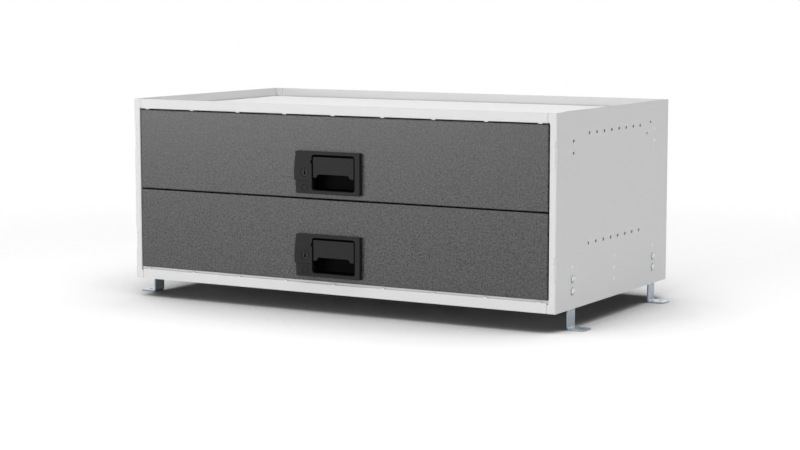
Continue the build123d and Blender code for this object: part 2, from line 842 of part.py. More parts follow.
# Paddle shaft: a pin with a crank on its right-hand end
with BuildPart() as paddle_shaft:
    with BuildSketch(Plane.YZ.offset(-pin_end)):
        with Locations((hinge_y, hinge_z)):
            Circle(pin_radius)
    extrude(amount=pin_end + crank_x)
    with BuildSketch(Plane.YZ.offset(crank_x)):
        with Locations((hinge_y, hinge_z)):
            Circle(crank_hub)
        with Locations((hinge_y + crank_reach, hinge_z)):
            Circle(crank_tip)
        make_hull()
    extrude(amount=crank_thick)
write_rows(paddle_shaft, "paddle_shaft")

# Return spring, wound round the shaft in the gap of the paddle's boss
with BuildPart() as paddle_spring:
    with BuildLine():
        coil = Helix(spring_pitch, spring_length, spring_radius,
                     center=(spring_middle - spring_length / 2, hinge_y, hinge_z), direction=(1, 0, 0))
    with BuildSketch(Plane(origin=coil @ 0, z_dir=coil % 0)):
        Rectangle(2 * spring_wire, 2 * spring_wire)
    sweep(is_frenet=True)
write_rows(paddle_spring, "paddle_spring")

# Lock cylinder, with its keyway and the cam on its end
lock_y = bezel_y + lock_inset
with BuildPart() as lock_cylinder:
    with BuildSketch(across(lock_y)):
        with Locations((-lock_left, handle_z)):
            Circle(lock_radius)
    extrude(amount=-(housing_back + lock_cam_gap - lock_y))
    with BuildSketch(across(housing_back + lock_cam_gap)):
        with Locations((-lock_left, handle_z - lock_cam_reach / 2)):
            Rectangle(lock_cam_wide, lock_cam_reach)
        with Locations((-lock_left, handle_z)):
            Circle(lock_cam_wide / 2)
    extrude(amount=-lock_cam_thick)
    with BuildSketch(across(lock_y)):
        with Locations((-lock_left, handle_z + key_up)):
            SlotOverall(key_long, key_wide, rotation=90)
        with Locations((-lock_left, handle_z - key_eye_down)):
            Circle(key_eye)
    extrude(amount=-key_deep, mode=Mode.SUBTRACT)
write_rows(lock_cylinder, "lock_cylinder")

# Rotor: a plate on the bezel's pin, with slots for both rods and an ear under the crank's tip
with BuildPart() as latch_rotor:
    with BuildSketch(across(rotor_y)):
        with Locations((rotor_x, rotor_z)):
            Circle(rotor_hub)
            SlotOverall(2 * rotor_end, rotor_arm, rotation=90)
        with Locations((rotor_x + (rotor_reach + crank_thick / 2) / 2, rotor_z)):
            Rectangle(rotor_reach + crank_thick / 2, rotor_tab)
        with Locations((rotor_x, rotor_z)):
            Circle(rotor_pin + running_gap, mode=Mode.SUBTRACT)
        with Locations(*[(rotor_x, rotor_z + turn * rod_slot_reach) for turn in (-1, 1)]):
            SlotCenterToCenter(rod_slot_run, 2 * (rod_pin + rod_pin_play), rotation=90, mode=Mode.SUBTRACT)
    extrude(amount=-rotor_thick)
    with BuildSketch(across(rotor_y)):
        with Locations((rotor_x + rotor_reach, rotor_z)):
            Rectangle(crank_thick, rotor_ear_thick)
    extrude(amount=rotor_ear_deep)
write_rows(latch_rotor, "latch_rotor")

# Rods: a flat bar each, with a pin in the rotor's slot and a nose that reaches the strike
for name, level in rod_levels.items():
    out = rod_sides[name]
    tail = rotor_x - out * rod_tail
    nose_start = out * (opening_half - nose_short - nose_length)
    with BuildPart() as rod:
        with BuildSketch(across(rod_y)):
            with Locations(((tail + nose_start) / 2, level)):
                Rectangle(abs(nose_start - tail), rod_high)
        extrude(amount=-rod_thick)
        with BuildSketch(across(rod_y)):
            with Locations((rotor_x, level)):
                Circle(rod_pin)
        extrude(amount=rotor_thick + rod_gap)
        with BuildSketch(Plane.YZ.offset(nose_start)):
            with Locations((rod_back - nose_thick / 2, level)):
                Rectangle(nose_thick, nose_high)
        extrude(amount=out * nose_length)
        tip = rod.faces().sort_by(Axis.X)[-1 if out > 0 else 0]
        chamfer(tip.edges().sort_by(Axis.Y)[-1], length=nose_chamfer / 2, length2=nose_chamfer)
    write_rows(rod, f"latch_rod_{name}")

# Guides that carry the rods across the drawer front
guide_front = face_y + sheet
guide_depth = box_front - guide_clear - guide_front
with BuildPart() as rod_guides:
    for name, level in rod_levels.items():
        with BuildSketch(across(guide_front)):
            with Locations(*[(rod_sides[name] * place, level) for place in guide_places]):
                Rectangle(guide_long, guide_high)
        extrude(amount=-guide_depth)
    for name, level in rod_levels.items():
        with BuildSketch(Plane.YZ):
            with Locations((rod_y + rod_thick / 2, level)):
                Rectangle(rod_thick + 2 * guide_play, rod_high + 2 * guide_play)
        extrude(amount=rod_sides[name] * front_half, mode=Mode.SUBTRACT)
write_rows(rod_guides, "rod_guides")

# Strikes: an angle on each side panel, in front of the noses
strike_y = rod_back - nose_thick - strike_gap - strike_thick
strike_profile = ((opening_half, strike_y), (panel_inner, strike_y), (panel_inner, strike_y + strike_back))
with BuildPart() as strikes:
    for rise in drawer_rows.values():
        for name, level in rod_levels.items():
            level_plane = Plane.XY.offset(level + rise)
            angle = folded(level_plane, strike_profile, strike_high / 2, thickness=strike_thick, both=True)
            if name == "right":
                add(angle)
            else:
                mirror(angle, about=Plane.YZ)
write(strikes, "latch_strikes")
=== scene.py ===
"""Looks of the van drawer cabinet: camera, light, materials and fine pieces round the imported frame.

Metres, in the part's frame: X to the right, Y to the back, Z up from the floor.
"""

import json
import math

import bpy
import bmesh
from mathutils import Matrix, Vector


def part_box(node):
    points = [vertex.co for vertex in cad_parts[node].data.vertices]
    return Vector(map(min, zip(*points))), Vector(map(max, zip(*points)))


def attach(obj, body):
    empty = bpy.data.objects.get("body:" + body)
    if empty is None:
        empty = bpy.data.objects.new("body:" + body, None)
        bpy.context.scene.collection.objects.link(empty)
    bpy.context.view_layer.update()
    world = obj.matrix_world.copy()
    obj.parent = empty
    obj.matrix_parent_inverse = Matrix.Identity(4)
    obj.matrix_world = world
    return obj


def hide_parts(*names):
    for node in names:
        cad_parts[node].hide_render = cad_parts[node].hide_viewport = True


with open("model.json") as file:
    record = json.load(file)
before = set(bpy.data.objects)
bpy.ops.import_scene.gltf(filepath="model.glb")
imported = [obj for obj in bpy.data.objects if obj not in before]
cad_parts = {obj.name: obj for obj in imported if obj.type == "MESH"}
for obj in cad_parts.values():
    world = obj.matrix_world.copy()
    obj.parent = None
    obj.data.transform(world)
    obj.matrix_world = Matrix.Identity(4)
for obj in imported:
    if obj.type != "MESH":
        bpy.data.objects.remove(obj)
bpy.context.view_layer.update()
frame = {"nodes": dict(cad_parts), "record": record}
nodes = frame["nodes"]
ROWS = ("lower", "upper")
MM = 0.001


# Camera, lamps, floor and surround

CAMERA_PLACE = (2.1187, -3.66675, 0.6549)
CAMERA_TURN = (83.263, 0.0, 30.008)
CAMERA_REACH = 1000.0
LENS = 89.36
SENSOR = 36.0

# name: place, aim, width, height and power
LAMPS = {
    "top_lamp": ((0.9, -1.2, 8.0), (0.0, 0.0, 0.0), 12.0, 12.0, 740.0),
    "front_lamp": ((0.2, -4.8, 3.6), (0.0, 0.0, 0.2), 2.4, 2.4, 48.0),
    "strip_lamp": ((-2.9, -4.5, 0.5), (0.0, -0.25, 0.35), 3.4, 0.5, 50.0),
}

FLOOR_HALF = 400.0
FLOOR_GRID = 4
FLOOR_DROP = 0.2 * MM
FLOOR_SEEN = 0.98
FLOOR_BOUNCE = 0.85
FLOOR_SHADE_REACH = 0.5
# share of FLOOR_SEEN that is left at each openness
FLOOR_SHADES = ((0.0, 0.27), (0.12, 0.235), (0.3, 0.165), (0.43, 0.26), (0.56, 0.82), (0.85, 1.0))
# the open floor also gives off a little light, which comes in between these two opennesses
FLOOR_LIFT = 0.05
FLOOR_LIFT_FROM = 0.5
FLOOR_LIFT_TO = 0.9
# between these two distances the floor turns plain white
FLOOR_NEAR = 0.9
FLOOR_FAR = 2.2
WORLD_LIGHT = 0.24
WORLD_SEEN = 1.0
WHITE = (1.0, 1.0, 1.0, 1.0)


# Finishes: ramps are (place, grey or colour) pairs, and depths and reaches are lengths

# numbers of the colour sockets of a Mix node
MIX_FIRST = 6
MIX_SECOND = 7
MIX_RESULT = 2
SHADE_SAMPLES = 8
EDGE_SAMPLES = 4
PAINT_EDGE = 0.5 * MM
HANDLE_EDGE = 0.35 * MM
SHEET_EDGE = 0.4 * MM
SMALL_EDGE = 0.3 * MM

PALE_PAINT = ((0.2, (0.748, 0.748, 0.746)), (0.8, (0.778, 0.778, 0.778)))
# painted shade: the pale paint darkens in creases, by its openness within this reach
PAINTED_CREASE_SHADE_REACH = 6.0 * MM
PAINTED_CREASE_SHADES = ((0.35, 0.60), (0.6, 0.82), (0.8, 1.0))
DARK_PAINT = ((0.40, (0.010, 0.010, 0.010)), (0.60, (0.096, 0.096, 0.097)))
CHARCOAL = ((0.2, (0.009, 0.009, 0.0095)), (0.8, (0.015, 0.015, 0.0155)))
# painted shade of the handle's pocket: openness within this reach, depths behind the bezel's face, and the
# darkening they give
POCKET_SHADE_REACH = 90.0 * MM
# behind the bezel's face the plastic is outside down to the first depth, in the pocket from the second
POCKET_NEAR = 8.25 * MM
POCKET_DEEP = 17.25 * MM
POCKET_LEAST = 0.12
PAINTED_POCKET_SHADES = ((0.1, 0.05), (0.4, 0.3), (0.5, 1.0))
ZINC = ((0.25, (0.31, 0.37, 0.42)), (0.5, (0.35, 0.42, 0.47)), (0.75, (0.39, 0.46, 0.53)))
GALVANISED = ((0.2, (0.47, 0.50, 0.52)), (0.8, (0.62, 0.65, 0.67)))
STEEL = ((0.3, (0.55, 0.59, 0.63)), (0.7, (0.70, 0.74, 0.78)))
# painted shade where the steel is shut in, such as round the rims of the bolt heads
STEEL_SHADE_REACH = 9.0 * MM
PAINTED_STEEL_SHADES = ((0.70, 0.12), (0.88, 0.34), (0.99, 1.0))
LOCK_METAL = ((0.35, (0.009, 0.009, 0.010)), (0.75, (0.020, 0.020, 0.021)))
WHITE_PLASTIC = ((0.3, (0.95, 0.95, 0.93)), (0.7, (0.98, 0.98, 0.96)))
GUIDE_PLASTIC = ((0.3, (0.62, 0.62, 0.58)), (0.7, (0.70, 0.70, 0.66)))


# Fine pieces: sizes of what stands in the place of plainer nodes

BALL_PITCH = 14.0 * MM
BALL_ROW_WIDE = 5.0 * MM
BALL_STEPS = 14
BALL_RINGS = 8
CAGE_WIDE = 4.6 * MM
CAGE_THICK = 0.6 * MM
CAGE_EDGE = 0.9 * MM
CAGE_WINDOW = 2.5 * MM
WINDOW_LANE = 1
# node of the rows, body and height of the balls
BALL_SETS = (("outer_ball_rows", "outer_balls", 2.2 * MM), ("inner_ball_rows", "inner_balls", 2.1 * MM))

SPRING_RADIUS = 2.8 * MM
SPRING_WIRE = 0.5 * MM
SPRING_WIRE_STEPS = 10
SPRING_TURNS = 6
SPRING_STEPS = 20
SPRING_FOOT = 7.0 * MM
SPRING_HAND = 5.0 * MM

NUT_HIGH = 6.0 * MM
NUT_FLAT = 5.0 * MM
NUT_SIDE_TURN = 60.0
NUT_CORNER = NUT_FLAT / math.cos(math.radians(NUT_SIDE_TURN / 2.0))
NUT_FACE = 4.8 * MM
NUT_BORE = 3.05 * MM
NUT_SINK = 0.4 * MM
NUT_SLOPE = 30.0
NUT_STEPS = 72

BOLT_LONG = 16.0 * MM
BOLT_HEAD_HIGH = 4.0 * MM
BOLT_HEAD_RADIUS = 8.25 * MM
BOLT_DOME = (BOLT_HEAD_RADIUS ** 2 + BOLT_HEAD_HIGH ** 2) / (2.0 * BOLT_HEAD_HIGH)
BOLT_DOME_RINGS = 12
BOLT_RADIUS = 3.0 * MM
BOLT_ROOT = 2.7 * MM
BOLT_PITCH = 1.0 * MM
BOLT_THREAD = 6.5 * MM
BOLT_THREAD_RINGS = 52
BOLT_STEPS = 36

HEAD_RADIUS = 4.75 * MM
HEAD_HIGH = 2.6 * MM
HEAD_RIM = 0.8 * MM
HEAD_RINGS = 20
HEAD_STEPS = 72
SHANK_RADIUS = 2.5 * MM
SHANK_TIP = 1.8 * MM
CROSS_HALF = 0.55 * MM
CROSS_REACH = 2.4 * MM
CROSS_DEEP = 1.3 * MM
CROSS_SLOPE = 0.4 * MM

MARK_RADIUS = 0.65 * MM
MARK_PROUD = 0.12 * MM
MARK_IN = 4.6 * MM
MARK_BACK = 5.1 * MM
MARK_STEPS = 20
# shares of MARK_RADIUS and MARK_PROUD from the sunk rim to the middle
MARK_SHARES = ((1.0, -1.0), (1.0, 0.0), (0.8, 1.0), (0.5, 1.0), (0.3, 0.3))
# heights of the dark marks, painted shade of dimples, and of the white marks, painted highlight of dimples
SHADED_DIMPLE_RISES = (0.1365, 0.3305, 0.3610)
HIGHLIT_DIMPLE_RISES = (0.1105,)

# edges sharper than these, in degrees, stay sharp
PLAIN_SHARP = 35.0
BALL_SHARP = 60.0
ROUND_SHARP = 50.0
NUT_SHARP = 25.0
CROSS_SHARP = 30.0


class Tree:
    """The nodes of a material or of the world, with short calls to add and join them."""

    def __init__(self, owner):
        owner.use_nodes = True
        self.owner = owner
        self.nodes = owner.node_tree.nodes
        self.links = owner.node_tree.links

    def add(self, kind, **settings):
        node = self.nodes.new(kind)
        for key, value in settings.items():
            setattr(node, key, value)
        return node

    def join(self, source, target):
        self.links.new(source, target)

    def math(self, operation, first, second):
        node = self.add("ShaderNodeMath", operation=operation)
        for socket, value in zip(node.inputs, (first, second)):
            if isinstance(value, (int, float)):
                socket.default_value = value
            else:
                self.join(value, socket)
        return node.outputs["Value"]

    def mixed_shaders(self, share, first, second):
        """The first shader, and the second one where share is 1."""
        node = self.add("ShaderNodeMixShader")
        for source, target in zip((share, first, second), node.inputs):
            self.join(source, target)
        return node.outputs[0]

    def seen_directly(self):
        """1 for camera, glossy and transmission rays, which see the studio's plain white."""
        path = self.add("ShaderNodeLightPath")
        share = path.outputs["Is Camera Ray"]
        for name in ("Is Glossy Ray", "Is Transmission Ray"):
            share = self.math("MAXIMUM", share, path.outputs[name])
        return share


class Finish(Tree):
    """A new material, whose patterns are laid out in the part's own metres."""

    def __init__(self, name):
        super().__init__(bpy.data.materials.new(name))
        self.shader = self.nodes["Principled BSDF"]
        self.place = self.add("ShaderNodeTexCoord").outputs["Object"]

    def noise(self, scale, detail=2.0, roughness=0.5, stretch=None, distortion=0.0):
        """A noise value from 0 to 1, scale in bumps per metre."""
        node = self.add("ShaderNodeTexNoise")
        node.inputs["Scale"].default_value = scale
        node.inputs["Detail"].default_value = detail
        node.inputs["Roughness"].default_value = roughness
        node.inputs["Distortion"].default_value = distortion
        self.join(self.stretched(stretch), node.inputs["Vector"])
        return node.outputs["Fac"]

    def stretched(self, stretch):
        """The place at which a pattern is read, scaled along each axis where stretch is given."""
        if stretch is None:
            return self.place
        node = self.add("ShaderNodeMapping")
        node.inputs["Scale"].default_value = stretch
        self.join(self.place, node.inputs["Vector"])
        return node.outputs["Vector"]

    def flakes(self, scale):
        """Two random values for each flake of a spangle, scale in flakes per metre."""
        cells = self.add("ShaderNodeTexVoronoi")
        cells.inputs["Scale"].default_value = scale
        self.join(self.place, cells.inputs["Vector"])
        parts = self.add("ShaderNodeSeparateColor")
        self.join(cells.outputs["Color"], parts.inputs["Color"])
        return parts.outputs["Red"], parts.outputs["Green"]

    def blended(self, first, second, share):
        """share of the first value and the rest of the second."""
        part, rest = self.math("MULTIPLY", first, share), self.math("MULTIPLY", second, 1.0 - share)
        return self.math("ADD", part, rest)

    def spread(self, value, low, high, start=0.0, end=1.0):
        """value from start..end brought to low..high."""
        node = self.add("ShaderNodeMapRange")
        node.inputs["From Min"].default_value = start
        node.inputs["From Max"].default_value = end
        node.inputs["To Min"].default_value = low
        node.inputs["To Max"].default_value = high
        self.join(value, node.inputs["Value"])
        return node.outputs["Result"]

    def colours(self, value, stops):
        """A colour ramp through (place, grey or colour) stops."""
        node = self.add("ShaderNodeValToRGB")
        ramp = node.color_ramp
        while len(ramp.elements) < len(stops):
            ramp.elements.new(1.0)
        for element, (place, colour) in zip(ramp.elements, stops):
            element.position = place
            element.color = (colour, colour, colour, 1.0) if isinstance(colour, float) else (*colour, 1.0)
        self.join(value, node.inputs["Fac"])
        return node.outputs["Color"]

    def openness(self, reach):
        """1 where a place is open, down to 0 where it is shut in by faces within reach."""
        node = self.add("ShaderNodeAmbientOcclusion", samples=SHADE_SAMPLES)
        node.inputs["Distance"].default_value = reach
        return node.outputs["AO"]

    def shaded(self, colour, share, shades):
        """colour with painted shade: darkened by the shades that belong to share."""
        node = self.add("ShaderNodeMix", data_type="RGBA", blend_type="MULTIPLY")
        node.inputs[0].default_value = 1.0
        self.join(colour, node.inputs[MIX_FIRST])
        self.join(self.colours(share, shades), node.inputs[MIX_SECOND])
        return node.outputs[MIX_RESULT]

    def bump(self, height, depth, edge):
        """The normal of a bump of that depth, over sharp edges that are rounded by the radius edge."""
        rounded = self.add("ShaderNodeBevel", samples=EDGE_SAMPLES)
        rounded.inputs["Radius"].default_value = edge
        node = self.add("ShaderNodeBump")
        node.inputs["Strength"].default_value = 1.0
        node.inputs["Distance"].default_value = depth
        self.join(height, node.inputs["Height"])
        self.join(rounded.outputs["Normal"], node.inputs["Normal"])
        return node.outputs["Normal"]

    def done(self, colour, roughness, normal, metal=0.0, specular=0.5, coat=0.0, coat_roughness=0.2):
        """Joins the patterns to the shader and gives the material back."""
        shader = self.shader
        self.join(colour, shader.inputs["Base Color"])
        self.join(roughness, shader.inputs["Roughness"])
        self.join(normal, shader.inputs["Normal"])
        shader.inputs["Metallic"].default_value = metal
        shader.inputs["Specular IOR Level"].default_value = specular
        shader.inputs["Coat Weight"].default_value = coat
        shader.inputs["Coat Roughness"].default_value = coat_roughness
        return self.owner


# The studio

def add_camera():
    data = bpy.data.cameras.new("camera")
    data.lens = LENS
    data.sensor_width = SENSOR
    data.clip_end = CAMERA_REACH
    camera = bpy.data.objects.new("camera", data)
    camera.location = CAMERA_PLACE
    camera.rotation_euler = [math.radians(a) for a in CAMERA_TURN]
    bpy.context.scene.collection.objects.link(camera)
    bpy.context.scene.camera = camera


def add_lamps():
    """Soft rectangular lamps, each of which points at its aim."""
    for name, (place, aim, wide, high, power) in LAMPS.items():
        data = bpy.data.lights.new(name, "AREA")
        data.energy = power
        data.shape = "RECTANGLE"
        data.size = wide
        data.size_y = high
        lamp = bpy.data.objects.new(name, data)
        lamp.location = place
        lamp.rotation_euler = (Vector(aim) - Vector(place)).to_track_quat("-Z", "Y").to_euler()
        bpy.context.scene.collection.objects.link(lamp)


def shaded_floor(tree):
    """The floor near the cabinet: the deeper it lies in the shadow, the darker it is painted."""
    open_share = tree.openness(FLOOR_SHADE_REACH)
    tones = [(place, FLOOR_SEEN * part) for place, part in FLOOR_SHADES]
    near, lift = tree.add("ShaderNodeBsdfDiffuse"), tree.add("ShaderNodeEmission")
    tree.join(tree.colours(open_share, tones), near.inputs["Color"])
    strength = tree.spread(open_share, low=0.0, high=FLOOR_LIFT, start=FLOOR_LIFT_FROM, end=FLOOR_LIFT_TO)
    tree.join(strength, lift.inputs["Strength"])
    lifted = tree.add("ShaderNodeAddShader")
    tree.join(near.outputs[0], lifted.inputs[0])
    tree.join(lift.outputs[0], lifted.inputs[1])
    return lifted.outputs[0]


def floor_material():
    """A floor that keeps the shadow near the cabinet and turns plain white away from it."""
    tree = Finish("studio_floor")
    tree.nodes.remove(tree.shader)
    bounce, white = tree.add("ShaderNodeBsdfDiffuse"), tree.add("ShaderNodeEmission")
    bounce.inputs["Color"].default_value = (FLOOR_BOUNCE, FLOOR_BOUNCE, FLOOR_BOUNCE, 1.0)
    white.inputs["Strength"].default_value = WORLD_SEEN
    length = tree.add("ShaderNodeVectorMath", operation="LENGTH")
    tree.join(tree.place, length.inputs[0])
    far = tree.add("ShaderNodeMapRange", interpolation_type="SMOOTHSTEP")
    far.inputs["From Min"].default_value = FLOOR_NEAR
    far.inputs["From Max"].default_value = FLOOR_FAR
    tree.join(length.outputs["Value"], far.inputs["Value"])
    seen = tree.mixed_shaders(far.outputs["Result"], shaded_floor(tree), white.outputs[0])
    both = tree.mixed_shaders(tree.seen_directly(), bounce.outputs[0], seen)
    tree.join(both, tree.nodes["Material Output"].inputs["Surface"])
    return tree.owner


def add_stage():
    mesh = bpy.data.meshes.new("studio_floor")
    form = bmesh.new()
    bmesh.ops.create_grid(form, x_segments=FLOOR_GRID, y_segments=FLOOR_GRID, size=FLOOR_HALF)
    form.to_mesh(mesh)
    form.free()
    floor = bpy.data.objects.new("studio_floor", mesh)
    floor.location = (0.0, 0.0, -FLOOR_DROP)
    floor.data.materials.append(floor_material())
    bpy.context.scene.collection.objects.link(floor)


def add_world():
    """An even white surround that is seen as plain white."""
    tree = Tree(bpy.data.worlds.new("studio"))
    light, seen = tree.nodes["Background"], tree.add("ShaderNodeBackground")
    for shader, strength in ((light, WORLD_LIGHT), (seen, WORLD_SEEN)):
        shader.inputs["Color"].default_value = WHITE
        shader.inputs["Strength"].default_value = strength
    both = tree.mixed_shaders(tree.seen_directly(), light.outputs[0], seen.outputs[0])
    tree.join(both, tree.nodes["World Output"].inputs["Surface"])
    bpy.context.scene.world = tree.owner


# Materials

def pale_grey_paint():
    """Powder coat: an even pale grey with a very fine orange peel, and painted shade that darkens it in the
    creases.
    """
    tree = Finish("pale_grey_paint")
    tone = tree.blended(tree.noise(scale=2.3, detail=3.0), tree.noise(scale=1400.0, detail=1.0), share=0.35)
    # painted shade darkens the colour in the creases
    colour = tree.shaded(tree.colours(tone, PALE_PAINT), tree.openness(PAINTED_CREASE_SHADE_REACH), PAINTED_CREASE_SHADES)
    rough = tree.spread(tree.noise(scale=60.0, detail=3.0), low=0.42, high=0.50)
    normal = tree.bump(tree.noise(scale=420.0), depth=0.02 * MM, edge=PAINT_EDGE)
    return tree.done(colour, rough, normal, specular=0.4)


def dark_grey_hammered_paint():
    """Textured dark grey coat whose grains catch the light one by one."""
    tree = Finish("dark_grey_hammered_paint")
    grain = tree.noise(scale=300.0, detail=3.0, roughness=0.65, distortion=0.4)
    tone = tree.blended(grain, tree.noise(scale=1500.0), share=0.8)
    rough = tree.spread(grain, low=0.26, high=0.38, start=0.35, end=0.65)
    normal = tree.bump(tone, depth=0.10 * MM, edge=PAINT_EDGE)
    return tree.done(tree.colours(tone, DARK_PAINT), rough, normal)


def black_plastic():
    """Moulded charcoal plastic with a fine spark-eroded texture, and painted shade that makes it darker and
    duller in the pocket.
    """
    tree = Finish("black_plastic")
    grain = tree.noise(scale=2600.0, roughness=0.6)
    tone = tree.blended(grain, tree.noise(scale=14.0), share=0.7)
    axes = tree.add("ShaderNodeSeparateXYZ")
    tree.join(tree.place, axes.inputs[0])
    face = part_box("upper_handle_bezel")[0][1]
    near, deep = face + POCKET_NEAR, face + POCKET_DEEP
    # painted shade: the colour darkens and the reflection dims in the pocket, by openness and by depth
    # behind the bezel's face
    outside = tree.spread(axes.outputs["Y"], low=0.0, high=1.0, start=deep, end=near)
    share = tree.math("MINIMUM", tree.openness(POCKET_SHADE_REACH), tree.math("ADD", outside, POCKET_LEAST))
    colour = tree.shaded(tree.colours(tone, CHARCOAL), share, PAINTED_POCKET_SHADES)
    pocket_dimmed_gloss = tree.spread(share, low=0.025, high=0.18, start=0.1, end=0.5)
    tree.join(pocket_dimmed_gloss, tree.shader.inputs["Specular IOR Level"])
    rough = tree.spread(tone, low=0.42, high=0.55, start=0.3, end=0.7)
    normal = tree.bump(grain, depth=0.03 * MM, edge=HANDLE_EDGE)
    return tree.done(colour, rough, normal, specular=0.18)


def moulded_plastic(name, stops, low, high):
    """Plain moulded plastic whose roughness runs from low to high."""
    tree = Finish(name)
    grain = tree.noise(scale=900.0)
    rough = tree.spread(grain, low, high)
    normal = tree.bump(grain, depth=0.01 * MM, edge=SMALL_EDGE)
    return tree.done(tree.colours(grain, stops), rough, normal)


def zinc_plate():
    """Bright zinc under a clear film: bluish, with faint rolling lines and slight clouding."""
    tree = Finish("zinc_plate")
    lines = tree.noise(scale=900.0, stretch=(1.0, 1.0, 0.06))
    tone = tree.blended(tree.noise(scale=38.0, detail=3.0), lines, share=0.6)
    rough = tree.spread(tone, low=0.22, high=0.30, start=0.3, end=0.7)
    normal = tree.bump(lines, depth=0.01 * MM, edge=SHEET_EDGE)
    colour = tree.colours(tone, ZINC)
    return tree.done(colour, rough, normal, metal=0.3, coat=0.7, coat_roughness=0.12)


def galvanised_sheet():
    """Hot-dipped sheet with a small spangle."""
    tree = Finish("galvanised_sheet")
    bright, dull = tree.flakes(scale=110.0)
    tone = tree.blended(bright, tree.noise(scale=22.0, detail=3.0), share=0.45)
    rough = tree.spread(dull, low=0.28, high=0.44)
    normal = tree.bump(tone, depth=0.02 * MM, edge=SHEET_EDGE)
    return tree.done(tree.colours(tone, GALVANISED), rough, normal, metal=1.0)


def bright_steel():
    """Plated steel for bolts, screws, shafts, balls and rods, with painted shade that darkens it where it
    is shut in.
    """
    tree = Finish("bright_steel")
    fine = tree.noise(scale=1800.0)
    tone = tree.blended(tree.noise(scale=160.0, detail=3.0), fine, share=0.6)
    # painted shade darkens the colour where the steel is shut in
    colour = tree.shaded(tree.colours(tone, STEEL), tree.openness(STEEL_SHADE_REACH), PAINTED_STEEL_SHADES)
    rough = tree.spread(tone, low=0.14, high=0.28, start=0.3, end=0.7)
    normal = tree.bump(fine, depth=0.004 * MM, edge=SMALL_EDGE)
    return tree.done(colour, rough, normal, metal=1.0)


def lock_dark_metal():
    """Black coated die-cast metal, a little rubbed all over."""
    tree = Finish("lock_dark_metal")
    rub = tree.noise(scale=700.0, detail=3.0)
    rough = tree.spread(rub, low=0.38, high=0.50)
    normal = tree.bump(rub, depth=0.01 * MM, edge=SMALL_EDGE)
    return tree.done(tree.colours(rub, LOCK_METAL), rough, normal, specular=0.22)


def make_materials():
    return {
        "pale_grey_paint": pale_grey_paint(),
        "dark_grey_hammered_paint": dark_grey_hammered_paint(),
        "black_plastic": black_plastic(),
        "white_plastic": moulded_plastic("white_plastic", WHITE_PLASTIC, low=0.25, high=0.35),
        "guide_plastic": moulded_plastic("guide_plastic", GUIDE_PLASTIC, low=0.40, high=0.50),
        "zinc_plate": zinc_plate(),
        "galvanised_sheet": galvanised_sheet(),
        "bright_steel": bright_steel(),
        "lock_dark_metal": lock_dark_metal(),
    }


def dress_nodes():
    """Gives each CAD node the finish of its material slot."""
    for subpart in frame["record"]["subparts"]:
        node = nodes[subpart["node"]]
        for slot in node.material_slots:
            slot.material = materials[subpart["material_slot"]]


# Fine pieces

def add_piece(name, form, body, slot, replaced=(), sharp=PLAIN_SHARP):
    """Turns form into an object that rides on body and stands for the replaced nodes."""
    bmesh.ops.recalc_face_normals(form, faces=form.faces)
    mesh = bpy.data.meshes.new(name)
    form.to_mesh(mesh)
    form.free()
    mesh.shade_smooth()
    mesh.set_sharp_from_angle(angle=math.radians(sharp))
    mesh.materials.append(materials[slot])
    piece = bpy.data.objects.new(name, mesh)
    bpy.context.scene.collection.objects.link(piece)
    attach(piece, body)
    if replaced:
        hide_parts(*replaced)


def add_rings(form, rings, closed=False, capped=False):
    """Faces between rings, which hold as many points each and run the same way round."""
    loops = [[form.verts.new(point) for point in ring] for ring in rings]
    pairs = list(zip(loops, loops[1:]))
    if closed:
        pairs.append((loops[-1], loops[0]))
    for lower, upper in pairs:
        for place, after in zip(range(len(lower)), [*range(1, len(lower)), 0]):
            form.faces.new((lower[place], lower[after], upper[after], upper[place]))
    if capped:
        form.faces.new(loops[0])
        form.faces.new(loops[-1])


def around(steps):
    """Angles that divide a turn into steps."""
    return [2.0 * math.pi * step / steps for step in range(steps)]


def add_cage(form, x, z, along, across):
    """The sheet of a cage at x, z, with a window between every other pair of stations along Y."""
    grid = [[form.verts.new((x + dx, y, z - CAGE_THICK / 2.0)) for dx in across] for y in along]
    for step, (near, far) in enumerate(zip(grid, grid[1:])):
        for lane in range(len(across) - 1):
            if lane != WINDOW_LANE or step % 2 == 0:
                form.faces.new((near[lane], near[lane + 1], far[lane + 1], far[lane]))


def add_ball_rows(row, rows_name, body_name, high):
    """Balls in four slotted cages, in the place of a node of ball rows."""
    node = f"{row}_{rows_name}"
    low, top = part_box(node)
    start, end = low[1], top[1]
    count = int((end - start - CAGE_WINDOW) / BALL_PITCH) + 1
    first = (start + end - (count - 1) * BALL_PITCH) / 2.0
    places = [first + step * BALL_PITCH for step in range(count)]
    reach = top[0] - BALL_ROW_WIDE / 2.0
    middle, lift = (low[2] + top[2]) / 2.0, (top[2] - low[2] - high) / 2.0
    half, slot_half = CAGE_WIDE / 2.0, CAGE_WIDE / 2.0 - CAGE_EDGE
    across = (-half, -slot_half, slot_half, half)
    along = [start, *[y + side * CAGE_WINDOW / 2.0 for y in places for side in (-1, 1)], end]
    cage, balls = bmesh.new(), bmesh.new()
    for side in (-1, 1):
        for turn in (-1, 1):
            x, z = side * reach, middle + turn * lift
            add_cage(cage, x, z, along, across)
            for y in places:
                bmesh.ops.create_uvsphere(balls, u_segments=BALL_STEPS, v_segments=BALL_RINGS,
                                          radius=high / 2.0, matrix=Matrix.Translation((x, y, z)))
    raised = bmesh.ops.extrude_face_region(cage, geom=cage.faces[:])["geom"]
    lifted = [vert for vert in raised if isinstance(vert, bmesh.types.BMVert)]
    bmesh.ops.translate(cage, vec=(0.0, 0.0, CAGE_THICK), verts=lifted)
    add_piece(f"{row}_{body_name}_cages", cage, f"{row}_{body_name}", "bright_steel", (node,))
    add_piece(f"{row}_{body_name}_in_cages", balls, f"{row}_{body_name}", "bright_steel", sharp=BALL_SHARP)


